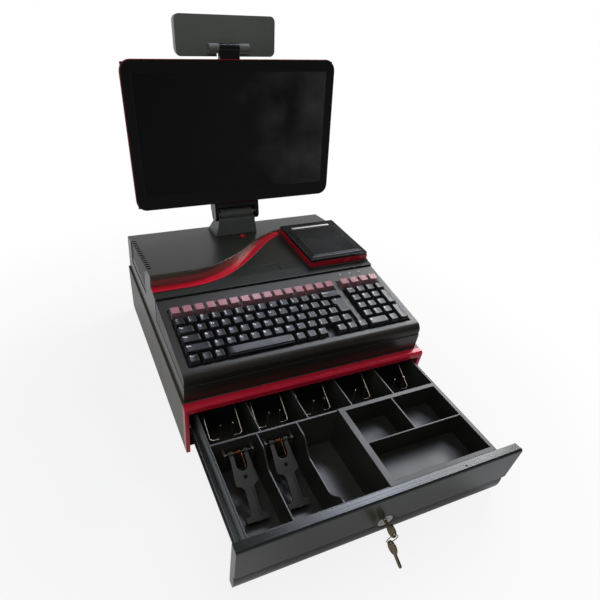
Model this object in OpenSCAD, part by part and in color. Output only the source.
/* [Drawer unit] */
// Outside width of the steel case that the drawer runs in
case_w = 412; // [400:1:430]
// Outside depth of the case with its red front frame
case_d = 404; // [400:1:440]
// Height of the case above its feet
case_h = 96; // [94:0.5:100]
// How far the drawer stands open
drawer_open = 205; // [190:1:215]
// Thickness of the drawer's front panel
fascia_t = 14; // [12:0.5:16]
// Height of the lock's axis above the counter
lock_z = 37; // [35:0.5:40]

/* [Till] */
// Depth of the rear note compartments
note_d = 156; // [140:1:160]
// Depth of the front bays, wall to wall
bay_d = 137; // [134:1:140]
// Wall thickness of the moulded till
till_t = 2; // [1.6:0.1:2.4]
// Wire diameter of the note clips
clip_wire = 2.2; // [1.8:0.1:2.6]

/* [Housing] */
// Width of the housing at its foot, on top of the drawer unit
cover_w = 401; // [396:0.5:404]
// Height of the rear edge of the deck above the drawer unit
deck_rear_h = 65; // [62:0.5:68]
// Fall of the deck towards the rear, degrees
deck_slope = 8; // [7.4:0.1:8.6]
// Wall thickness of the housing
wall = 3; // [2.5:0.1:3.5]
// Width of the red stripe beside the step
stripe_w = 15.5; // [12:0.5:17]

/* [Keyboard] */
// Key spacing
key_u = 19.05; // [19:0.01:19.1]
// Slope of the key plane, degrees
key_slope = 7; // [6:0.1:8]
// Key travel
key_travel = 3.5; // [3:0.1:3.8]

/* [Receipt printer] */
// Width of the printer on the deck
printer_w = 116; // [112:1:118]
// Depth of the printer on the deck
printer_d = 136; // [132:1:138]
// Width of the receipt paper
paper_w = 79.5; // [70:0.5:80]

/* [Monitor] */
// Width of the front glass
glass_w = 362; // [340:1:380]
// Height of the front glass
glass_h = 217.5; // [212:0.5:222]
// Lean of the glass from upright, degrees
lean = 10.6; // [8:0.1:13]
// Black border beside the picture
border_x = 15; // [11:0.5:26]
// Black border above and below the picture
border_z = 19.5; // [17:0.5:24]

/* [Customer display] */
// Width of the customer display
display_w = 168; // [150:1:180]
// Height of the customer display
display_h = 55; // [50:1:58]

/* [Hidden] */
$fn = 48;

// Heights that the whole terminal hangs on
foot_h = 4;
case_top = foot_h + case_h;
sheet = 1.2;
frame_d = 12;
post_w = 6;
rail_h = 11;

// Drawer, drawn where it stands open: its front face, rear wall and sides
fascia_w = case_w + 8;
fascia_h = case_h - 2;
fascia_z = foot_h + 3;
fascia_y = -drawer_open - fascia_t;
box_front = -drawer_open;
box_w = case_w - 30;
box_d = case_d - 42;
box_t = 1;
box_z = 10;
box_h = 74;
box_rim = 5.5;

// Till: the moulded insert in the drawer
till_w = box_w - 3;
till_y = box_front + box_rim + 1;
till_z = box_z + box_t + 0.4;
till_top = foot_h + 80;
bay_rear = till_y + till_t + bay_d;
note_y = bay_rear + 3;
till_d = till_t + bay_d + 3 + note_d + till_t;
note_pitch = (till_w - till_t) / 5;
first_bay = 69.5;
second_bay = 62;
third_bay = 69.5;
bay_x = [-till_w / 2, first_bay - till_w / 2, first_bay + second_bay - till_w / 2,
  first_bay + second_bay + third_bay - till_w / 2];
coin_x = bay_x[3];
coin_w = till_w / 2 - coin_x;
clip_w = 50;
clip_pin_r = clip_wire / 2 + 0.1;
clip_pivot = [note_y + 95, till_top - 5];
clip_foot = [note_y + 33, till_top - 37];
lever_x = [bay_x[0] + 39.5, bay_x[1] + second_bay / 2];
lever_pivot = [bay_rear - 7, till_z + 53];
lever_fall = 26;
coin_h = 40;

// Latch at the back of the case: the hook's pivot, and its lift off the striker
latch_pivot = [box_d + 20, 40];
latch_lift = 16;

// Slides: on each side a rail on the drawer, a channel in the case and a roller at its front
slide_z = 46;
slide_l = box_d - 17;
slide_x = case_w / 2 - sheet;
slide_t = 1.2;
rail_half = 11;
rail_reach = 5.6;
channel_half = rail_half + 0.4 + slide_t;
roller_r = rail_half - slide_t - 0.3;
roller_at = [frame_d + 12, slide_z];

// Lock in the drawer's front panel
lock_x = 3;
lock_r = 9.5;
plug_r = 6;
hole_play = 1.5;
key_hole = [fascia_y - 19, lock_z - hole_play];
ring_r = 8.5;
spare_l = 30;
spare_hang = key_hole[1] - 2 * ring_r - hole_play;
spare_tilt = acos((spare_hang - 4.2) / spare_l);
reach = -(key_hole[0] - spare_l * sin(spare_tilt) - 3);

// Housing profile, seen from the side; its sides lean in by the moulding draft
cover_x = -2.4;
draft = 1.5;
cover_front = 14;
cover_rear = case_d - 2;
kb_seam = case_top + 29;
crease_y = 176;
deck_z = case_top + deck_rear_h;
function deck_at(y) = deck_z + (cover_rear - y) * tan(deck_slope);
step_left = -145;
step_right = 93;
step_front = 208;
step_back = 338;
step_skew = 1.19;
low_deck_z = deck_at(step_back) - 3;
crease_z = low_deck_z - 1.5;
function step_at(x) =
  let (t = max(0, min(1, (x - step_left) / (step_right - step_left))))
  step_front + (step_back - step_front) * (1 - cos(180 * pow(t, step_skew))) / 2;
function step_slope(x) =
  let (t = (x - step_left) / (step_right - step_left))
  t <= 0 || t > 1 ? 0
    : (step_back - step_front) * 90 * PI / 180 * sin(180 * pow(t, step_skew))
      * step_skew * pow(t, step_skew - 1) / (step_right - step_left);
step_n = 28;

boss_x = cover_w / 2 - 20.5;
boss_y = [60, case_d - 25];
recess = [54, 23];

// Keyboard plane and key places
kb_w = cover_w - 1;
kb_y = cover_front + 1;
kb_rear = crease_y - 1;
kb_rear_z = low_deck_z - 5;
kb_h = 26;
key_x = -188.5;
pad_x = key_x + 15.6 * key_u;
key_row_y = -35;
key_h = 8.5;
key_lift = -1;
red_gap = 4;
mat_z = -5.5;
mat_t = 1.5;
function row_y(r) = key_row_y - r * key_u - (r > 0 ? red_gap : 0);

// Printer on the low deck
printer_x = 135;
printer_y = 190;
printer_z = low_deck_z + 2;
band_h = 9;
lid_z = printer_z + band_h + 1.6;
lid_t = 4;
lid_r = 2.6;
rim_w = 7.5;
slot_y = printer_y + printer_d - 20.5;
lid_at = [printer_y + rim_w + 0.3 + lid_r, lid_z + lid_t - lid_r];
roll_r = 27;
bucket_z = case_top + 2;
roll_at = [printer_y + 48, bucket_z + 2.3 + roll_r];
platen_at = [slot_y - 9, lid_z - 6.6];

// Monitor, in its own leaning frame: x across, y back, z up from the hinge
neck_x = -5;
hinge_y = step_back + 14;
hinge_z = deck_at(hinge_y) + 39.9;
barrel_r = 8.5;
pin_r = 3;
cheek_in = 36.2;
cheek_t = 6.3;
cheek_r = 12.5;
glass_y = -19;
glass_t = 3;
glass_bottom = 24.2;
glass_mid = glass_bottom + glass_h / 2;
picture_w = glass_w - 2 * border_x;
picture_h = glass_h - 2 * border_z;
picture_mid = glass_mid + 3;
shell_low = glass_bottom + 2;
shell_y = glass_y + glass_t + 3;
shell_back = 19;
stalk_z = glass_bottom + glass_h + 16;
stalk_y = 5;
stalk_r = 6.8;
display_x = -2.5;
display_t = 15;
display_y = stalk_y + stalk_r + 0.5;
display_z = stalk_z - 11;
stalk_w = 34;
knuckle_w = 16.5;
knuckle_x = stalk_w / 2 + 0.35 + knuckle_w / 2;

// Power button on the deck
power_at = [1.6, 327];

// The origin stands under the middle of everything, on the counter
rear_reach = hinge_y + (display_y + display_t) * cos(lean) + (display_z + display_h) * sin(lean);
origin_y = (reach - rear_reach) / 2;

plastic = "#33332f";
gloss_black = "#0d0d0f";
dark_red = "#9c1424";
steel = "#a9adb0";

// Places that children are drawn in

// Terminal frame: y runs back from the front of the drawer case
module terminal() {
  translate([0, origin_y, 0]) children();
}

// A side profile, y across and z up, drawn w wide about x = 0
module across(w, x = 0) {
  translate([x - w / 2, 0, 0]) rotate([90, 0, 90]) linear_extrude(w) children();
}

// Leaning frame of the monitor
module leaning() {
  translate([neck_x, hinge_y, hinge_z]) rotate([-lean, 0, 0]) children();
}

// Plane of the keys, from its rear edge
module key_plane() {
  translate([0, kb_rear, kb_rear_z]) rotate([key_slope, 0, 0]) children();
}

// Upright frame on the sloping deck at x, y
module on_deck(at) {
  translate([at[0], at[1], deck_at(at[1])]) rotate([-deck_slope, 0, 0]) children();
}

// Shapes used more than once

module rod_x(l, r, x = 0) {
  translate([x - l / 2, 0, 0]) rotate([0, 90, 0]) cylinder(h = l, r = r);
}

module box_at(low, size) {
  translate(low) cube(size);
}

module round_rect(w, h, r) {
  hull()
    for (sx = [-1, 1], sz = [-1, 1])
      translate([sx * (w / 2 - r), sz * (h / 2 - r)]) circle(r, $fn = 32);
}

// Flat plate standing in the x z plane, t deep
module upright_plate(t) {
  rotate([90, 0, 0]) translate([0, 0, -t]) linear_extrude(t) children();
}

// Round bar between two points
module bar(a, b, r) {
  d = b - a;
  l = norm(d);
  translate(a) rotate([0, acos(d[2] / l), atan2(d[1], d[0])]) cylinder(h = l, r = r, $fn = 24);
}

// Bent wire: bars with ball joints a hair larger than the wire
module wire(points, r) {
  for (i = [0:len(points) - 2]) bar(points[i], points[i + 1], r);
  for (p = points) translate(p) sphere(r * 1.05, $fn = 24);
}

// Drawer unit

module feet() {
  color("#111111")
    for (sx = [-1, 1], y = [40, case_d - 40])
      translate([sx * (case_w / 2 - 40), y, 0]) cylinder(h = foot_h, r1 = 10, r2 = 11);
}

module drawer_case() {
  color("#56574f") difference() {
    box_at([-case_w / 2, frame_d, foot_h], [case_w, case_d - frame_d, case_h]);
    box_at([-case_w / 2 + sheet, frame_d - 1, foot_h + sheet],
           [case_w - 2 * sheet, case_d - frame_d + 1 - sheet, case_h - 2 * sheet]);
    // Cable way through the rear, into the housing's own opening
    box_at([-30, case_d - 50, case_top - sheet - 1], [60, 20, sheet + 2]);
    // Vent slots low in the rear wall
    for (i = [-4:4]) box_at([i * 16 - 4, case_d - 5, 20], [8, 10, 3]);
  }
}

module front_frame() {
  color(dark_red) difference() {
    across(case_w) polygon([
      [0, foot_h], [0, case_top - 3], [3, case_top], [frame_d, case_top], [frame_d, foot_h]
    ]);
    box_at([-case_w / 2 + post_w, -1, foot_h - 1], [case_w - 2 * post_w, frame_d + 2, case_h + 1 - rail_h]);
  }
}

// Rolled channel on both sides: its web at x, its lips depth long, away from or towards the middle
module channel(x, depth, half_h, y, l) {
  for (side = [0, 1]) mirror([side, 0, 0])
    translate([0, y + l, slide_z]) rotate([90, 0, 0]) linear_extrude(l) difference() {
      translate([min(x, x + depth), -half_h]) square([abs(depth), 2 * half_h]);
      translate([min(x, x + depth) + (depth > 0 ? slide_t : -1), slide_t - half_h])
        square([abs(depth) - slide_t + 1, 2 * (half_h - slide_t)]);
    }
}

// Channels screwed to the case, each with a roller's pin riveted in its front end
module slide_outer() {
  pin_l = slide_x - slide_t / 2 - box_w / 2 - slide_t - 1;
  color(steel) {
    channel(slide_x, -8.6, channel_half, frame_d + 2, slide_l + 10);
    for (side = [-1, 1]) translate([0, roller_at[0], roller_at[1]])
      rod_x(pin_l, 2, side * (slide_x - slide_t / 2 - pin_l / 2));
  }
}

module slide_rollers() {
  width = 4;
  color("#d9d6cc") for (side = [-1, 1])
    translate([side * (box_w / 2 + slide_t + 0.5 + width / 2), roller_at[0], roller_at[1]]) difference() {
      rod_x(width, roller_r);
      rod_x(width + 2, 2.06);
    }
}

// Rails on the drawer, each with a nylon shoe at its rear end that slides in the case's channel
module slide_inner() {
  shoe_l = 30;
  rail_y = frame_d + 4 - drawer_open;
  shoe_x = box_w / 2 + slide_t / 2;
  color(steel) channel(box_w / 2, rail_reach, rail_half, rail_y, slide_l);
  color("#d9d6cc") for (side = [0, 1]) mirror([side, 0, 0])
    translate([shoe_x, rail_y + slide_l - shoe_l, slide_z]) rotate([90, 0, 90])
      linear_extrude(slide_x - slide_t - 0.5 - shoe_x) polygon([
        [0, -rail_half + 3], [3, -rail_half], [shoe_l - 3, -rail_half], [shoe_l, -rail_half + 3],
        [shoe_l, rail_half - 3], [shoe_l - 3, rail_half], [3, rail_half], [0, rail_half - 3]
      ]);
}

// Solenoid, its plate and the two ears that carry the hook
module latch_unit() {
  floor_z = foot_h + sheet;
  color("#8d9094") {
    difference() {
      union() {
        box_at([-32, box_d + 10, floor_z], [64, 26, 2]);
        for (x = [-9, 6]) box_at([x, box_d + 12, floor_z], [3, 16, latch_pivot[1] - floor_z + 6]);
      }
      translate([0, latch_pivot[0], latch_pivot[1]]) rod_x(40, 2.04);
    }
    box_at([-30, box_d + 11, floor_z + 2], [18, 23, 26]);
    translate([-21, box_d + 22, floor_z + 28]) cylinder(h = 8, r = 3);
  }
}

// Drawn lifted off the striker, as it is while the drawer stands open
module latch_hook() {
  color("#c2a24a") translate([0, latch_pivot[0], latch_pivot[1]]) rotate([-latch_lift, 0, 0]) {
    rod_x(22, 2);
    across(9) polygon([
      [-18.6, -4], [-18.6, 4], [-16, 6.5], [4, 6.5], [8, 2], [8, -4], [2, -6], [-4, -4],
      [-8, 0.8], [-15.6, 0.8], [-15.6, -4]
    ]);
  }
}

module drawer_box() {
  inner_w = box_w - 2 * box_t;
  striker_y = box_front + box_d;
  color("#2c2f30") difference() {
    union() {
      box_at([-box_w / 2, box_front, box_z], [box_w, box_d, box_h]);
      // Striker that the latch hook drops behind
      across(24) polygon([
        [striker_y - 1, 30], [striker_y + 8, 30], [striker_y + 8, 39],
        [striker_y + 5, 39], [striker_y + 5, 33], [striker_y - 1, 33]
      ]);
    }
    box_at([-inner_w / 2, box_front + box_t, box_z + box_t], [inner_w, box_d - 2 * box_t, box_h - 2 * box_t]);
    box_at([-inner_w / 2, box_front + box_rim, box_z + box_t], [inner_w, box_d - box_rim - box_t, box_h]);
    translate([lock_x, box_front - 1, lock_z]) rotate([-90, 0, 0]) cylinder(h = box_t + 2, r = lock_r + 1);
  }
}

module drawer_fascia() {
  groove = fascia_z + 29;
  belly = [for (a = [-75:15:75]) [fascia_y + 5.5 - 4 * cos(a), fascia_z + groove / 2 - 3 + (groove / 2 - 3) * sin(a)]];
  top = fascia_z + fascia_h;
  color("#343a38") difference() {
    // Bellied lower half, groove, flat upper half and two low ridges along the top
    across(fascia_w) polygon(concat(
      [[fascia_y + 7, fascia_z]], belly,
      [[fascia_y + 4, groove], [fascia_y + 4, groove + 2], [fascia_y, groove + 3.2], [fascia_y, top - 3],
       [fascia_y + 0.9, top - 0.9], [fascia_y + 3, top], [fascia_y + 5, top], [fascia_y + 5, top - 0.7],
       [fascia_y + 9, top - 0.7], [fascia_y + 9, top - 1.4], [fascia_y + fascia_t, top - 1.4],
       [fascia_y + fascia_t, fascia_z]]
    ));
    // Blind screw hole in the top
    translate([fascia_w / 2 - 94, fascia_y + 7, top - 4]) cylinder(h = 6, r = 1.2);
    // Dished seat round the lock, and the lock's bore
    translate([lock_x, fascia_y - 0.01, lock_z]) rotate([-90, 0, 0])
      cylinder(h = 4.5, r1 = 17, r2 = lock_r + 2);
    translate([lock_x, fascia_y - 1, lock_z]) rotate([-90, 0, 0])
      cylinder(h = fascia_t + 2, r = lock_r + 0.05);
  }
}

module lock_body() {
  color("#c8c9c4") translate([lock_x, 0, lock_z]) rotate([-90, 0, 0]) difference() {
    union() {
      translate([0, 0, fascia_y + 2]) cylinder(h = 2.5, r = lock_r + 2);
      translate([0, 0, fascia_y + 2]) cylinder(h = fascia_t, r = lock_r);
    }
    translate([0, 0, fascia_y]) cylinder(h = fascia_t + 6, r = plug_r + 0.04);
  }
}

module lock_plug() {
  color("#b9b6a8") translate([lock_x, 0, lock_z]) {
    difference() {
      rotate([-90, 0, 0]) translate([0, 0, fascia_y + 1.5]) cylinder(h = fascia_t + 1, r = plug_r);
      box_at([-1.2, fascia_y, -4], [2.4, fascia_t, 8]);
    }
    // Cam behind the drawer's front wall
    box_at([-4, fascia_y + fascia_t + 2.5, -4], [8, 1.6, 22]);
  }
}

// Flat key in the plane across x, pointing back from its bow
module key_shape(blade, tip_r) {
  difference() {
    union() {
      circle(9.5);
      translate([0, -tip_r]) square([blade, 2 * tip_r]);
      translate([blade, 0]) circle(tip_r);
    }
    translate([-6.5, 0]) circle(2.4);
  }
}

module key() {
  color("#9b9788") translate([lock_x, 0, lock_z]) rotate([90, 0, 90]) translate([fascia_y - 12.5, 0, -1])
    linear_extrude(2) key_shape(22, 3);
}

module key_ring() {
  color("#8f8a7a") translate([lock_x, key_hole[0], key_hole[1] - ring_r]) rotate([90, 0, 0])
    rotate_extrude() translate([ring_r, 0]) circle(0.8, $fn = 16);
}

module spare_key() {
  color("#9b9788") translate([lock_x, key_hole[0], spare_hang]) rotate([-spare_tilt - 90, 0, 0])
    rotate([90, 0, 90]) translate([6.5, 0, -1]) linear_extrude(2) key_shape(spare_l - 6.5, 3);
}

// Till

// One end of a divider's dip: falls in an S-curve from high_y to low_y, or rises when listed backwards
dip = 22;
function dip_edge(high_y, low_y) =
  let (fall = [for (t = [0:0.125:1]) [high_y + (low_y - high_y) * t, till_top - dip * (1 - cos(180 * t)) / 2]])
  low_y < high_y ? concat([[high_y, till_top + 1]], fall)
    : concat([for (k = [len(fall) - 1:-1:0]) fall[k]], [[high_y, till_top + 1]]);

// Hollow of one compartment: low corner and size, open at the top
module well(x, y, w, d, floor_z = till_z + till_t) {
  box_at([x, y, floor_z], [w, d, till_top - floor_z + 1]);
}

module till() {
  half = till_w / 2 - till_t;
  color("#232628") {
    difference() {
      box_at([-till_w / 2, till_y, till_z], [till_w, till_d, till_top - till_z]);
      for (i = [0:4]) well(-half + i * note_pitch, note_y, note_pitch - till_t, note_d);
      for (i = [0:3]) {
        left = bay_x[i] + (i == 0 ? till_t : till_t / 2);
        right = i == 3 ? half : bay_x[i + 1] - till_t / 2;
        well(left, till_y + till_t, right - left, bay_d);
      }
      // The two narrow dividers dip in S-curves, so that fingers reach the notes
      across(4, bay_x[1]) polygon(concat(
        dip_edge(bay_rear - 22, bay_rear - 50),
        [[till_y + till_t, till_top - dip], [till_y + till_t, till_top + 1]]
      ));
      across(4, bay_x[2]) polygon(concat(
        dip_edge(bay_rear - 22, bay_rear - 50),
        [for (p = dip_edge(till_y + till_t + 4, till_y + till_t + 30)) p]
      ));
      // Bores that carry the wire clips
      translate([0, clip_pivot[0], clip_pivot[1]]) rod_x(till_w - 2 * till_t, clip_pin_r + 0.05);
      for (side = [-1, 1])
        translate([side * (half + 0.6), clip_pivot[0], clip_pivot[1]]) rod_x(1.4, clip_pin_r + 0.05);
    }
    // Ears for the lever clips' pins
    for (x = lever_x, side = [-1, 1]) difference() {
      box_at([x + side * 20.5 - 1.5, lever_pivot[0] - 5, lever_pivot[1] - 5], [3, bay_rear - lever_pivot[0] + 5.5, 10]);
      translate([x, lever_pivot[0], lever_pivot[1]]) rod_x(50, 1.52);
    }
  }
}

module wire_clip(i) {
  x = -till_w / 2 + till_t / 2 + (i - 0.5) * note_pitch;
  r = clip_wire / 2;
  pivot_half = note_pitch / 2 - 0.3;
  color("#b9a79c") translate([x, 0, 0]) {
    translate([0, clip_pivot[0], clip_pivot[1]]) rod_x(2 * pivot_half, clip_pin_r);
    for (side = [-1, 1])
      wire([
        [side * clip_w / 2, clip_pivot[0], clip_pivot[1]],
        [side * clip_w / 2, clip_foot[0] + 4, clip_foot[1] + 2.4],
        [side * (clip_w / 2 - 4), clip_foot[0], clip_foot[1]],
        [side * (clip_w / 2 - 15), clip_foot[0], clip_foot[1]],
        [side * (clip_w / 2 - 16), clip_foot[0] + 2, clip_foot[1] + 28]
      ], r);
  }
}
module wire_clip_1() { wire_clip(1); }
module wire_clip_2() { wire_clip(2); }
module wire_clip_3() { wire_clip(3); }
module wire_clip_4() { wire_clip(4); }
module wire_clip_5() { wire_clip(5); }

// Half outline of the hold-down lever: round-bottomed fork, body that widens to a shoulder,
// straight arm and a T-shaped foot
fork_half = 8;
fork_depth = 19;
shoulder = [16.5, -42];
arm_half = 7.2;
foot_half = 16;
foot_rear = -88;
foot_front = -95;
lever_half = concat(
  [for (a = [-90:15:0]) [fork_half * cos(a), fork_half * sin(a) - fork_depth]],
  [[fork_half, 3], [14, 3], [14, -12], shoulder],
  [for (a = [90:15:180]) [arm_half + 9 + 9 * cos(a) - 1, shoulder[1] - 13 + 9 * sin(a)]],
  [for (a = [180:-15:90]) [arm_half + 6 + 6 * cos(a), foot_rear + 6 - 6 * sin(a)]],
  [[foot_half, foot_rear], [foot_half, foot_front]]
);
lever_edge = concat(lever_half, [for (k = [len(lever_half) - 1:-1:1]) [-lever_half[k][0], lever_half[k][1]]]);
module lever_clip(i) {
  color("#3f4341") translate([lever_x[i], lever_pivot[0], lever_pivot[1]]) rotate([lever_fall, 0, 0]) {
    difference() {
      union() {
        translate([0, 0, -1.7]) linear_extrude(3.4) difference() {
          polygon(lever_edge);
          translate([-2.5, shoulder[1] + 4]) square(5);
        }
        for (side = [-1, 1]) rod_x(6, 3.8, side * 11);
        // Stiffening rib along the right edge, and the thick face of the foot
        translate([arm_half - 2, foot_rear, 0]) cube([1.6, -foot_rear - 50, 3.4]);
        box_at([-foot_half, foot_front, -6], [2 * foot_half, foot_rear - foot_front, 6]);
      }
      rod_x(40, 1.56);
    }
  }
}
module lever_clip_1() { lever_clip(0); }
module lever_clip_2() { lever_clip(1); }

// Closed tube swept along points, w x h sides, from rings that face the local direction
function unit(v) = v / norm(v);
function ring_at(points, i, r, sides) =
  let (a = points[max(0, i - 1)], b = points[min(len(points) - 1, i + 1)], t = unit(b - a),
       u = unit(cross(t, abs(t[2]) > 0.9 ? [1, 0, 0] : [0, 0, 1])), v = cross(t, u))
  [for (k = [0:sides - 1]) points[i] + r * (cos(360 * k / sides) * u + sin(360 * k / sides) * v)];
module tube(points, r, sides = 8) {
  n = len(points);
  rings = [for (i = [0:n - 1]) each ring_at(points, i, r, sides)];
  walls = [for (i = [0:n - 2], k = [0:sides - 1])
    [i * sides + k, (i + 1) * sides + k, (i + 1) * sides + (k + 1) % sides, i * sides + (k + 1) % sides]];
  ends = [[for (k = [0:sides - 1]) k], [for (k = [sides - 1:-1:0]) (n - 1) * sides + k]];
  polyhedron(rings, concat(walls, ends));
}

// Torsion springs round the lever pins, with one straight leg in the fork
module lever_springs() {
  coil_r = 2.9;
  wire_r = 0.55;
  turns = 5;
  pitch = 1.5;
  steps = 12;
  coil = [for (k = [0:turns * steps])
    [(k / steps - turns / 2) * pitch, coil_r * sin(360 * k / steps), coil_r * cos(360 * k / steps)]];
  leg = [coil[turns * steps] + [0.3, -6, 0], coil[turns * steps] + [0.3, -23, 0]];
  color("#a8623c") for (x = lever_x) translate([x, lever_pivot[0], lever_pivot[1]]) {
    rod_x(44, 1.5);
    rotate([lever_fall, 0, 0]) tube(concat(coil, leg), wire_r, 6);
  }
}

module coin_tray() {
  rim_t = 1.6;
  cup_z = till_top + rim_t - coin_h;
  cup_top = coin_h + 1;
  rear_y = bay_rear - 66;
  left = coin_x + 9;
  mid = coin_x + 91;
  right = till_w / 2 - 6;
  color("#26292b") difference() {
    union() {
      box_at([coin_x + 1.4, till_y + till_t + 0.4, cup_z - 2], [coin_w - 4, bay_d - 0.8, coin_h + 2 - rim_t]);
      box_at([coin_x - 1, till_y, till_top], [coin_w + 1, bay_d + till_t + 3, rim_t]);
    }
    box_at([left, rear_y, cup_z], [mid - left - 1.2, 62, cup_top]);
    box_at([mid + 1.2, rear_y, cup_z], [right - mid - 1.2, 62, cup_top]);
    box_at([left, till_y + 7, cup_z], [right - left, rear_y - 2.4 - till_y - 7, cup_top]);
  }
}

// Housing

// Side outline of the low body, inset all round by t
function low_outline(t) = [
  [cover_front + t, case_top + t], [cover_front + t, kb_seam - t], [crease_y + t, kb_seam - t],
  [crease_y + t, crease_z - t], [200, low_deck_z - t],
  [cover_rear - (low_deck_z - deck_z) / tan(deck_slope), low_deck_z - t],
  [cover_rear - 4, deck_at(cover_rear - 4) - t], [cover_rear - t, deck_at(cover_rear) - 4 - t],
  [case_d - t, case_top + t]
];

// Side outline of the raised deck, inset by t
function deck_outline(t) = [
  [step_front - 10 + t, low_deck_z - 22], [step_front - 10 + t, deck_at(step_front - 10) - t],
  [cover_rear - 4, deck_at(cover_rear - 4) - t], [cover_rear - t, deck_at(cover_rear) - 4 - t],
  [cover_rear - t, low_deck_z - 22]
];

// Plan of the raised deck: everything behind the S-shaped step
function deck_plan(t) = concat(
  [for (k = [0:step_n]) let (x = step_left + (step_right - step_left) * k / step_n) [x, step_at(x) + t]],
  [[300, step_back + t], [300, cover_rear], [-300, cover_rear], [-300, step_front + t]]
);

// Everything between the two leaning sides, inset by t
module between_sides(t, h = 130) {
  half = cover_w / 2 - t;
  translate([cover_x, 0, case_top - 0.01]) linear_extrude(h, scale = [1 - h * tan(draft) / half, 1], slices = 1, segments = 1)
    translate([-half, 0]) square([2 * half, case_d + 10]);
}

module cover_body(t) {
  intersection() {
    union() {
      across(500) polygon(low_outline(t));
      intersection() {
        across(500) polygon(deck_outline(t));
        translate([0, 0, case_top]) linear_extrude(200) polygon(deck_plan(t));
      }
    }
    between_sides(t);
  }
}

vent_n = 16;
vent_front = 234;
vent_rear = cover_rear - 34;
module vents() {
  // Recess in the left wall, ribbed, with slots that run round onto the deck
  translate([cover_x - cover_w / 2, 0, case_top]) rotate([0, draft, 0]) {
    translate([-1, 0, 0]) rotate([90, 0, 90]) linear_extrude(2.2) polygon([
      [vent_rear + 2, 100], [vent_rear + 2, 25], [249, 31.6], [vent_front - 2, 84], [vent_front - 2, 100]
    ]);
    for (i = [0:vent_n - 1]) {
      y = vent_front + i * (vent_rear - vent_front - 5) / (vent_n - 1);
      box_at([-1, y, y < 255 ? 74 : 38], [3.2, 4.2, 60]);
      box_at([-1, y, deck_at(y) - case_top - 9], [10, 4.2, 40]);
    }
  }
}

module top_cover() {
  color(plastic) difference() {
    union() {
      cover_body(0);
      // Plinth under the printer
      box_at([printer_x - printer_w / 2 - 2, printer_y - 3, low_deck_z - 8], [printer_w + 4, printer_d + 3, printer_z - low_deck_z + 8]);
    }
    difference() {
      cover_body(wall);
      // Bosses that the pedestal and the base screw into
      for (x = [-boss_x, boss_x], y = boss_y) translate([x, y, case_top]) cylinder(h = 100, r = 4);
    }
    // The bottom stands open over the base plate
    box_at([cover_x - cover_w / 2 + wall, cover_front + wall, case_top - 1], [cover_w - 2 * wall, case_d - cover_front - 2 * wall, wall + 2]);
    // Well for the printer
    box_at([printer_x - printer_w / 2 + 5, printer_y + 4, low_deck_z - 20], [printer_w - 10, printer_d - 8, 60]);
    // Shallow plain recess on the front deck
    box_at([-recess[0] / 2, crease_y + 24, low_deck_z - 0.8], [recess[0], recess[1], 5]);
    vents();
    // Power button: bore and dished surround
    on_deck(power_at) {
      translate([0, 0, -10]) cylinder(h = 20, r = 5.6);
      translate([0, 0, -1.6]) cylinder(h = 2, r1 = 7, r2 = 11);
    }
    // Cable way under the pedestal
    translate([neck_x, hinge_y + 4, deck_at(hinge_y) - 12]) cylinder(h = 30, r = 10);
    // Port opening in the rear wall
    box_at([-150, case_d - 14, case_top + 10], [170, 20, 32]);
  }
}

// Glossy strip on the face of the step
module step_band() {
  xs = [for (k = [0:step_n]) step_left + (step_right - step_left) * k / step_n];
  face = concat([cover_x - cover_w / 2], xs);
  color("#5b6066") intersection() {
    between_sides(0);
    across(500) polygon([
      [step_front - 10, low_deck_z], [step_front - 10, deck_at(step_front - 10) - 1],
      [step_back + 2, deck_at(step_back + 2) - 1], [step_back + 2, low_deck_z]
    ]);
    translate([0, 0, low_deck_z - 5]) linear_extrude(60) polygon(concat(
      [for (x = face) [x, step_at(x) - 0.8]],
      [for (k = [len(face) - 1:-1:0]) [face[k], step_at(face[k])]]
    ));
  }
}

// Red strip lying on the low deck along the foot of the step
module accent_stripe() {
  stripe_end = printer_x - printer_w / 2 - 2.2;
  xs = concat([cover_x - cover_w / 2], [for (k = [0:step_n])
    step_left + (stripe_end - step_left) * k / step_n]);
  function front_edge(x) =
    let (s = step_slope(x), c = sqrt(1 + s * s)) [x + stripe_w * s / c, step_at(x) - 0.8 - stripe_w / c];
  front = [for (x = xs) front_edge(x)];
  color("#b01c2e") intersection() {
    translate([0, 0, low_deck_z]) linear_extrude(0.8) polygon(concat(
      [for (x = xs) [x, step_at(x) - 0.8]], [for (k = [len(xs) - 1:-1:0]) front[k]]
    ));
    between_sides(0);
    box_at([-300, 0, 0], [300 + stripe_end, case_d, 300]);
  }
}

module base_plate() {
  color("#6d7072") difference() {
    box_at([cover_x - cover_w / 2 + wall + 0.5, cover_front + wall + 0.5, case_top], [cover_w - 2 * wall - 1, case_d - cover_front - 2 * wall - 1, 1.5]);
    for (x = [-boss_x, boss_x], y = boss_y) translate([x, y, case_top - 1]) cylinder(h = 4, r = 4.3);
    box_at([-30, case_d - 50, case_top - 1], [60, 20, 4]);
  }
}

module mainboard() {
  z = case_top + 9;
  rear = case_d - 7;
  color("#1f5a3a") {
    box_at([-160, rear - 168, z], [170, 168, 1.6]);
    for (x = [-154, 2], y = [rear - 162, rear - 6])
      translate([x, y, case_top + 1.5]) cylinder(h = z - case_top - 1.4, r = 3);
  }
  color("#8f9497") {
    // Heat sink, memory and the row of rear ports
    for (i = [0:7]) box_at([-110 + i * 6, rear - 110, z + 1.5], [2, 44, 22]);
    box_at([-112, rear - 110, z + 1.5], [50, 44, 4]);
    box_at([-30, rear - 130, z + 1.5], [6, 104, 20]);
    for (p = [[-146, 16, 26], [-126, 14, 18], [-108, 34, 13], [-70, 30, 14], [-36, 16, 28], [-14, 18, 14]])
      box_at([p[0], rear - 18, z + 1.5], [p[1], 22, p[2]]);
  }
}

// Receipt printer

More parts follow.
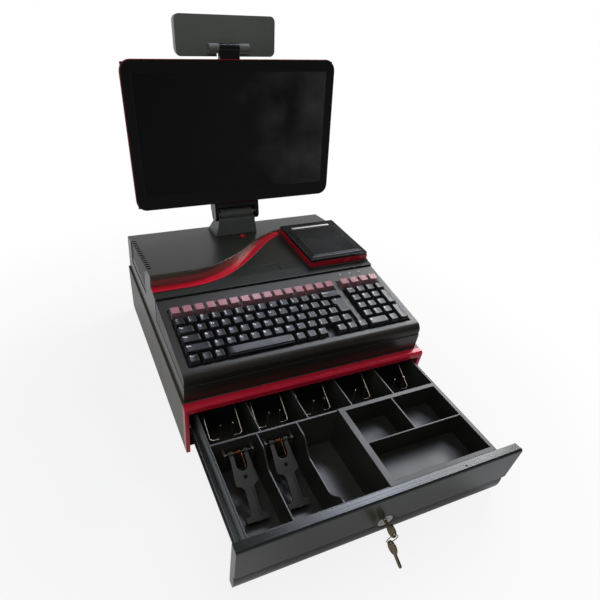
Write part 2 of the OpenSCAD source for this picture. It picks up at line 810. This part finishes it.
module printer_body() {
  inner = [printer_x - printer_w / 2 + 5.5, printer_y + 4.5];
  size = [printer_w - 11, printer_d - 9];
  floor_z = bucket_z;
  head_y = slot_y + 2;
  color("#1c1c1d") {
    // Paper bucket hanging in the well
    difference() {
      box_at([inner[0], inner[1], floor_z], [size[0], size[1], printer_z - floor_z]);
      box_at([inner[0] + 2, inner[1] + 2, floor_z + 2], [size[0] - 4, head_y - inner[1] - 2, 100]);
    }
    // Black rim round the lid, and the cover behind the paper slot
    difference() {
      box_at([printer_x - printer_w / 2 + 1, printer_y + 1, printer_z + band_h], [printer_w - 2, printer_d - 2, lid_t + 1]);
      box_at([printer_x - printer_w / 2 + rim_w, printer_y + rim_w, printer_z + band_h - 1], [printer_w - 2 * rim_w, head_y - printer_y - rim_w, 20]);
      translate([printer_x, lid_at[0], lid_at[1]]) rod_x(printer_w - 2 * rim_w + 4.4, 1.54);
      box_at([printer_x - printer_w / 2 + 12, head_y - 1, printer_z + band_h - 1], [printer_w - 24, 4, 3]);
    }
    box_at([inner[0], head_y + 4, printer_z - 4], [size[0], 8, band_h + 5]);
  }
  // Print head on its plate
  color("#b8b5aa") box_at([printer_x - 42, head_y - 1.6, platen_at[1] - 9], [84, 2, 18]);
}

module printer_frame() {
  color("#a5182b") {
    difference() {
      box_at([printer_x - printer_w / 2, printer_y, printer_z], [printer_w, printer_d, band_h]);
      box_at([printer_x - printer_w / 2 + 4, printer_y + 4, printer_z - 1], [printer_w - 8, printer_d - 8, band_h + 2]);
    }
  }
}

// Lid with a rounded front end that turns on two short pins in the rim
module printer_lid() {
  half = printer_w / 2 - rim_w - 0.3;
  end_y = slot_y - 1.5;
  color("#161616") difference() {
    union() {
      translate([printer_x, 0, 0]) across(2 * half) polygon(concat(
        [for (a = [90:15:270]) lid_at + lid_r * [cos(a), sin(a)]],
        [[lid_at[0] + 8, lid_z], [end_y, lid_z], [end_y, lid_z + lid_t - 1], [end_y - 1, lid_z + lid_t]]
      ));
      // Raised field, and the arms that carry the platen roller
      translate([printer_x, 0, 0]) across(2 * half - 9) polygon([
        [lid_at[0] + 2.5, lid_z + 1], [lid_at[0] + 2.5, lid_z + lid_t], [lid_at[0] + 3.7, lid_z + lid_t + 0.8],
        [end_y - 5, lid_z + lid_t + 0.8], [end_y - 4, lid_z + lid_t], [end_y - 4, lid_z + 1]
      ]);
      for (side = [-1, 1])
        box_at([printer_x + side * 46 - 2, platen_at[0] - 5, platen_at[1] - 4], [4, 10, lid_z - platen_at[1] + 5]);
    }
    for (side = [-1, 1])
      translate([printer_x + side * 46, platen_at[0], platen_at[1]]) rod_x(6, 2.04);
    // Round finger notch near the right edge
    translate([printer_x + half - 5, printer_y + 66, lid_z + 2]) cylinder(h = 6, r = 3);
  }
  color("#161616") translate([printer_x, lid_at[0], lid_at[1]]) rod_x(2 * half + 4, 1.5);
}

module platen_roller() {
  color("#2a2a2a") translate([printer_x, platen_at[0], platen_at[1]]) {
    rod_x(84, 5);
    rod_x(98, 2);
  }
}

module paper_roll() {
  color("#f1f0ea") translate([printer_x, roll_at[0], roll_at[1]]) difference() {
    rod_x(paper_w, roll_r);
    rod_x(paper_w + 2, 6);
  }
}

// Loose end of the paper: up through the slot, then folded back onto the cover
module receipt_strip() {
  top = printer_z + band_h + lid_t + 1;
  color("#f4f3ee") translate([printer_x, 0, 0]) across(paper_w) polygon([
    [slot_y - 0.2, lid_z - 2], [slot_y - 0.2, top + 0.9], [slot_y + 0.4, top + 1.3], [slot_y + 5.5, top + 0.3],
    [slot_y + 5.5, top], [slot_y + 0.6, top + 0.9], [slot_y + 0.1, top + 0.6], [slot_y + 0.1, lid_z - 2]
  ]);
}

module power_button() {
  color("#c2182c") on_deck(power_at) translate([0, 0, -9]) {
    cylinder(h = 10, r = 5.5);
    cylinder(h = 2, r = 7.5);
  }
}

// Keyboard

// Side outline of the keyboard, inset by t and open below, with a rounded front lip
function lip(y, z, r, a0, a1) = [for (k = [0:6]) let (a = a0 + (a1 - a0) * k / 6) [y + r * cos(a), z + r * sin(a)]];
kb_front_z = kb_rear_z - (kb_rear - kb_y - 12) * tan(key_slope);
function kb_outline(t) = concat(
  [[kb_y + t, kb_seam - t]], lip(kb_y + 12, kb_front_z - 12, 12 - t, 180, 97),
  [[kb_rear - t, kb_rear_z - t / cos(key_slope)], [kb_rear - t, kb_seam - t]]
);
// Windows for the blocks of keys, in the key plane: x, y, width, depth
function window(x, row, cols, rows) = [x - 1.2, row_y(row + rows - 1) - key_u / 2 - 1.2, cols * key_u + 2.4, rows * key_u + 2.4];
key_windows = [
  window(key_x, 0, 15, 1), window(pad_x, 0, 4, 1), window(key_x, 1, 15, 5), window(pad_x, 1, 4, 5),
  window(key_x + 12.4 * key_u, 5, 3.2, 1)
];

// Floor of the keyboard inside its cover's skirt, with the posts that hold the switch mat up
module keyboard_base() {
  skirt = 3.8;
  post_gap = (kb_w - 60) / 3;
  post_y = [for (r = [0, 4]) kb_rear + cos(key_slope) * (row_y(r) + row_y(r + 1)) / 2];
  color(plastic) {
    box_at([cover_x - kb_w / 2 + skirt, kb_y + skirt, kb_seam], [kb_w - 2 * skirt, kb_rear - kb_y - 2 * skirt, 2.5]);
    difference() {
      for (i = [0:3], y = post_y)
        translate([24 - kb_w / 2 + i * post_gap, y, kb_seam + 2]) cylinder(h = 50, r = 3);
      key_plane() box_at([-kb_w, -kb_w, mat_z - mat_t], [2 * kb_w, 2 * kb_w, 80]);
    }
  }
}

module keyboard_top() {
  color("#2b2b29") difference() {
    intersection() {
      across(500) polygon(kb_outline(0));
      between_sides(0.5);
      box_at([-kb_w, kb_y, kb_seam], [2 * kb_w, kb_rear - kb_y, 60]);
    }
    intersection() {
      across(500) polygon(kb_outline(2.5));
      between_sides(3);
      box_at([-kb_w, kb_y, kb_seam - 4], [2 * kb_w, kb_rear - kb_y, 60]);
    }
    key_plane() {
      for (w = key_windows) box_at([w[0], w[1], -8], [w[2], w[3], 20]);
      for (i = [0:2]) translate([lamp_x + i * key_u, -9, -6]) cylinder(h = 10, r = 2.1);
    }
  }
}
lamp_x = pad_x + 0.9 * key_u;

// Corner points of a rounded rectangle about the origin
function soft_corners(size, r) = [for (q = [0:3], a = [0:30:90])
  let (s = [q == 0 || q == 3 ? 1 : -1, q < 2 ? 1 : -1], b = a + 90 * q)
  [s[0] * (size[0] / 2 - r) + r * cos(b), s[1] * (size[1] / 2 - r) + r * sin(b)]];

// Key cap: tapered, with soft corners and a dished top, hollow underneath;
// x is its left edge, w and d its size in key units
module key_cap(x, row, w, d = 1, inset = 0) {
  foot = [w * key_u - 1 - 2 * inset, d * key_u - 1 - 2 * inset];
  top = [foot[0] - 5.4, foot[1] - 5];
  dish = 0.5;
  dish_r = top[0] * top[0] / 8 / dish;
  translate([x + w * key_u / 2, row_y(row) - (d - 1) * key_u / 2, key_lift]) difference() {
    linear_extrude(key_h, scale = [top[0] / foot[0], top[1] / foot[1]], slices = 1, segments = 1)
      polygon(soft_corners(foot, 1.6));
    translate([0, foot[1], key_h + dish_r - dish]) rotate([90, 0, 0])
      cylinder(h = 2 * foot[1], r = dish_r, $fn = 4 * ceil(dish_r));
    translate([-foot[0] / 2 + 3.4, -foot[1] / 2 + 3.4, -1]) difference() {
      cube([foot[0] - 6.8, foot[1] - 6.8, key_h - 1]);
      translate([foot[0] / 2 - 5.9, foot[1] / 2 - 5.9, -1]) cube([5, 5, key_h + 1]);
    }
  }
  // Foot of the stem, standing on the dome below
  translate([x + w * key_u / 2 - 2.5, row_y(row) - (d - 1) * key_u / 2 - 2.5, mat_z + 1.5])
    cube([5, 5, key_lift - mat_z]);
}

// Keys of a row as [left edge, row, width, depth], widths in key units
function ones(n) = [for (i = [1:n]) 1];
function key_run(x, row, widths) =
  [for (i = 0, at = 0; i < len(widths); at = at + widths[i], i = i + 1)
    [x + at * key_u, row, widths[i], 1]];
function main_x(units) = key_x + units * key_u;
red_keys = concat(key_run(key_x, 0, ones(15)), key_run(pad_x, 0, ones(4)));
number_keys = key_run(key_x, 1, concat(ones(13), [2]));
tab_keys = key_run(key_x, 2, concat([1.5], ones(12)));
caps_keys = key_run(key_x, 3, concat([1.75], ones(12)));
enter_key = [main_x(13.75), 2, 1.25, 2];
shift_keys = key_run(key_x, 4, concat([2.25], ones(10), [1.25, 1]));
bottom_keys = concat(
  key_run(key_x, 5, ones(3)), key_run(main_x(8.75), 5, ones(3)), key_run(main_x(12.5), 5, ones(3)));
space_key = [main_x(3), 5, 5.75, 1];
pad_keys = concat(
  key_run(pad_x, 1, ones(4)), key_run(pad_x, 2, ones(3)), key_run(pad_x, 3, ones(3)),
  key_run(pad_x, 4, ones(3)), key_run(pad_x, 5, [2, 1]),
  [[pad_x + 3 * key_u, 2, 1, 2], [pad_x + 3 * key_u, 4, 1, 2]]);
all_keys = concat(red_keys, number_keys, tab_keys, caps_keys, [enter_key], shift_keys,
  bottom_keys, [space_key], pad_keys);

module key_caps(keys, inset = 0) {
  for (k = keys) key_cap(k[0], k[1], k[2], k[3], inset);
}

// Rubber mat with a dome under every key
module switch_mat() {
  color("#d8d8d2") key_plane() {
    box_at([key_x, row_y(5) - key_u / 2, mat_z - mat_t], [19.6 * key_u, row_y(0) - row_y(5) + key_u, mat_t]);
    for (k = all_keys)
      translate([k[0] + k[2] * key_u / 2, row_y(k[1]) - (k[3] - 1) * key_u / 2, mat_z - 0.5])
        cylinder(h = 2, r = 3.6, $fn = 16);
  }
}

module keys_red() {
  color("#b01c2e") key_plane() key_caps(red_keys, 1);
}

// Clear snap-on covers that hold a paper legend on each red key
module key_covers() {
  foot = key_u - 1;
  color("#e9eef2") key_plane() for (k = red_keys)
    translate([k[0] + key_u / 2, row_y(0), key_lift]) difference() {
      linear_extrude(key_h + 1, scale = 0.71, slices = 1, segments = 1) polygon(soft_corners([foot, foot], 1.6));
      translate([0, 0, -0.01]) linear_extrude(key_h + 0.2, scale = 0.7, slices = 1, segments = 1)
        polygon(soft_corners([foot - 1.4, foot - 1.4], 1));
    }
}
module keys_number() {
  color("#2b2c30") key_plane() key_caps(number_keys);
}
module keys_tab_row() {
  color("#2b2c30") key_plane() key_caps(tab_keys);
}
module keys_caps_row() {
  color("#2b2c30") key_plane() {
    key_caps(caps_keys);
    // Tall Enter key, wider in its upper half
    union() {
      key_caps([enter_key]);
      key_cap(main_x(13.5), 2, 1.5);
    }
  }
}
module keys_shift_row() {
  color("#2b2c30") key_plane() key_caps(shift_keys);
}
module keys_bottom_row() {
  color("#2b2c30") key_plane() key_caps(bottom_keys);
}
module key_space() {
  color("#2b2c30") key_plane() key_caps([space_key]);
}
module keys_pad() {
  color("#2b2c30") key_plane() key_caps(pad_keys);
}

module indicator_lamps() {
  color("#e8eef5") key_plane()
    for (i = [0:2]) translate([lamp_x + i * key_u, -9, -5]) cylinder(h = 5.4, r = 2.05);
}

// Monitor and its stand

module pedestal() {
  foot_z = deck_at(hinge_y) - 12;
  neck_z = hinge_z - cheek_r - 1.5;
  color("#30312e") difference() {
    union() {
      intersection() {
        across(100, neck_x) translate([hinge_y, hinge_z]) polygon([
          [-11, deck_at(hinge_y - 11) - hinge_z], [-10, -10], [-7, -9.6], [-3, -6], [6, -6], [14, -12.5],
          [36, deck_at(hinge_y + 36) - hinge_z]
        ]);
        translate([neck_x, hinge_y + 100, 0]) rotate([90, 0, 0]) linear_extrude(200) polygon([
          [-43, foot_z], [-41, deck_at(hinge_y) + 2], [-cheek_in + 0.3, neck_z], [-cheek_in + 0.3, hinge_z],
          [cheek_in - 0.3, hinge_z], [cheek_in - 0.3, neck_z], [41, deck_at(hinge_y) + 2], [43, foot_z]
        ]);
      }
      translate([neck_x, hinge_y, hinge_z]) rod_x(62, barrel_r);
    }
    translate([neck_x, hinge_y, hinge_z]) rod_x(90, pin_r + 0.04);
    // Room for the pin's collars beside the barrel
    for (side = [-1, 1]) translate([neck_x, hinge_y, hinge_z]) rod_x(5, 6.1, side * 33.5);
    // Way for the cables
    translate([neck_x - 14, hinge_y, foot_z - 20]) cube([28, 8, 90]);
  }
}

module hinge_pin() {
  color("#c5c8ca") translate([neck_x, hinge_y, hinge_z]) {
    rod_x(84, pin_r);
    for (side = [-1, 1]) rod_x(4, 6, side * 33.5);
  }
}

// Two cheeks on the pin, a plate between them in front, and an arm up the monitor's back
module monitor_bracket() {
  color("#1f2021") leaning() difference() {
    union() {
      for (side = [-1, 1]) across(cheek_t, side * (cheek_in + cheek_t / 2)) polygon(concat(
        [[-9, shell_low - 6], [-3, shell_low - 0.2], [15.2, 59], [23, 62], [24, 40], [13, 6]],
        [for (a = [0:-15:-165]) cheek_r * [cos(a), sin(a)]]
      ));
      across(2 * (cheek_in + cheek_t)) polygon([
        [-9, 13], [-9, shell_low - 6], [-3, shell_low - 0.2], [15.1, 59], [shell_back + 0.1, 88], [shell_back + 0.1, 150],
        [shell_back + 5, 150], [shell_back + 5, 84], [20, 52], [17, 22], [17, 6], [12.5, 2], [9.5, 9], [0, 11.5]
      ]);
    }
    rod_x(100, pin_r + 0.02);
  }
}

// Back outline of the monitor, y across and z up, inset by t
function shell_outline(t) = [
  [shell_y + (t > 0 ? -1 : 0), shell_low + t], [-3 - t / 2, shell_low + t], [15 - t, 59 + t / 2],
  [shell_back - t, 88], [shell_back - t, glass_bottom + glass_h - 42], [8 - t, glass_bottom + glass_h - 2 - t],
  [shell_y + (t > 0 ? -1 : 0), glass_bottom + glass_h - 2 - t]
];
module shell_form(t) {
  half = glass_w / 2 - 2 - t;
  intersection() {
    across(2 * half) polygon(shell_outline(t));
    translate([0, 0, glass_bottom]) linear_extrude(glass_h) polygon([
      [-half, shell_y - 2], [-half, shell_y + 5], [-half + 26, shell_back + 1],
      [half - 26, shell_back + 1], [half, shell_y + 5], [half, shell_y - 2]
    ]);
  }
}
module monitor_shell() {
  color("#242424") leaning() difference() {
    shell_form(0);
    shell_form(2.5);
    for (i = [-7:7]) box_at([i * 8 - 1.5, shell_back - 8, glass_bottom + glass_h - 44], [3, 12, 20]);
  }
}

module glass_plate(grow, y, t) {
  translate([0, y, glass_mid]) upright_plate(t) round_rect(glass_w + 2 * grow, glass_h + 2 * grow, 16 + grow);
}

module monitor_trim() {
  color("#8e1426") leaning() difference() {
    glass_plate(1.2, glass_y + glass_t, 3);
    translate([0, glass_y + glass_t - 1, glass_mid]) upright_plate(5) square([glass_w - 12, glass_h - 12], center = true);
  }
}

module monitor_bezel() {
  color(gloss_black) leaning() difference() {
    glass_plate(0, glass_y, glass_t);
    translate([0, glass_y - 1, picture_mid]) upright_plate(glass_t + 2) square([picture_w, picture_h], center = true);
  }
}
module picture_panel() {
  color("#050506") leaning() {
    translate([0, glass_y + 0.3, picture_mid]) upright_plate(glass_t - 0.3) square([picture_w - 0.2, picture_h - 0.2], center = true);
    translate([0, glass_y + glass_t, picture_mid]) upright_plate(5) square([picture_w + 12, picture_h + 12], center = true);
  }
}

// Customer display, hinged above and behind the monitor

module display_stalk() {
  top = glass_bottom + glass_h;
  color("#2a2b2a") leaning() translate([display_x, 0, 0]) difference() {
    union() {
      across(stalk_w) polygon([
        [shell_back - 13, top - 30], [shell_back + 0.1, top - 42.2], [shell_back + 3, top - 42], [shell_back + 2, top - 20],
        [stalk_y + 3, top + 6], [stalk_y + 3, stalk_z], [stalk_y - 6, stalk_z + 2], [stalk_y - 6, top + 0.5], [8.2, top - 1.6]
      ]);
      translate([0, stalk_y, stalk_z]) rod_x(stalk_w, stalk_r);
      translate([0, stalk_y, stalk_z]) rod_x(68, 2);
    }
    translate([-display_x, 0, 0]) shell_form(0);
  }
}

module customer_display() {
  color("#30332f") leaning() translate([display_x, 0, 0]) difference() {
    union() {
      translate([0, display_y, display_z + display_h / 2]) upright_plate(display_t) round_rect(display_w, display_h, 8);
      for (side = [-1, 1]) {
        translate([0, stalk_y, stalk_z]) rod_x(knuckle_w, stalk_r, side * knuckle_x);
        box_at([side * knuckle_x - knuckle_w / 2, stalk_y, stalk_z - 5], [knuckle_w, 8, 11]);
      }
    }
    translate([0, stalk_y, stalk_z]) rod_x(90, 2.05);
    // Chamfered foot and a notch round the stalk, so that it can tilt back over the monitor
    across(display_w + 2) polygon([
      [display_y + display_t - 11, display_z], [display_y + display_t, display_z + 11],
      [display_y + display_t + 1, display_z + 11], [display_y + display_t + 1, display_z - 1], [display_y + 3, display_z - 1]
    ]);
    box_at([-stalk_w / 2 - 0.35, display_y - 1, display_z - 1], [stalk_w + 0.7, display_t + 2, stalk_z + 0.8 - display_z]);
    // Window on the customer's side, and the room behind it
    box_at([-display_w / 2 + 10, display_y + 12, display_z + 12], [display_w - 20, 6, display_h - 22]);
    box_at([-display_w / 2 + 6, display_y + 3, display_z + 14], [display_w - 12, 8, display_h - 20]);
  }
}

module display_window() {
  color("#12303a") leaning()
    box_at([display_x - display_w / 2 + 10.2, display_y + 12.1, display_z + 12.2], [display_w - 20.4, 2.2, display_h - 22.4]);
}

terminal() feet();
terminal() drawer_case();
terminal() front_frame();
terminal() slide_outer();
terminal() slide_rollers();
terminal() slide_inner();
terminal() latch_unit();
terminal() latch_hook();
terminal() drawer_box();
terminal() drawer_fascia();
terminal() lock_body();
terminal() lock_plug();
terminal() key();
terminal() key_ring();
terminal() spare_key();
terminal() till();
terminal() wire_clip_1();
terminal() wire_clip_2();
terminal() wire_clip_3();
terminal() wire_clip_4();
terminal() wire_clip_5();
terminal() lever_clip_1();
terminal() lever_clip_2();
terminal() lever_springs();
terminal() coin_tray();
terminal() base_plate();
terminal() top_cover();
terminal() step_band();
terminal() accent_stripe();
terminal() mainboard();
terminal() printer_body();
terminal() printer_frame();
terminal() printer_lid();
terminal() platen_roller();
terminal() paper_roll();
terminal() receipt_strip();
terminal() power_button();
terminal() keyboard_base();
terminal() keyboard_top();
terminal() switch_mat();
terminal() keys_red();
terminal() key_covers();
terminal() keys_number();
terminal() keys_tab_row();
terminal() keys_caps_row();
terminal() keys_shift_row();
terminal() keys_bottom_row();
terminal() key_space();
terminal() keys_pad();
terminal() indicator_lamps();
terminal() pedestal();
terminal() hinge_pin();
terminal() monitor_bracket();
terminal() monitor_shell();
terminal() monitor_trim();
terminal() monitor_bezel();
terminal() picture_panel();
terminal() display_stalk();
terminal() customer_display();
terminal() display_window();
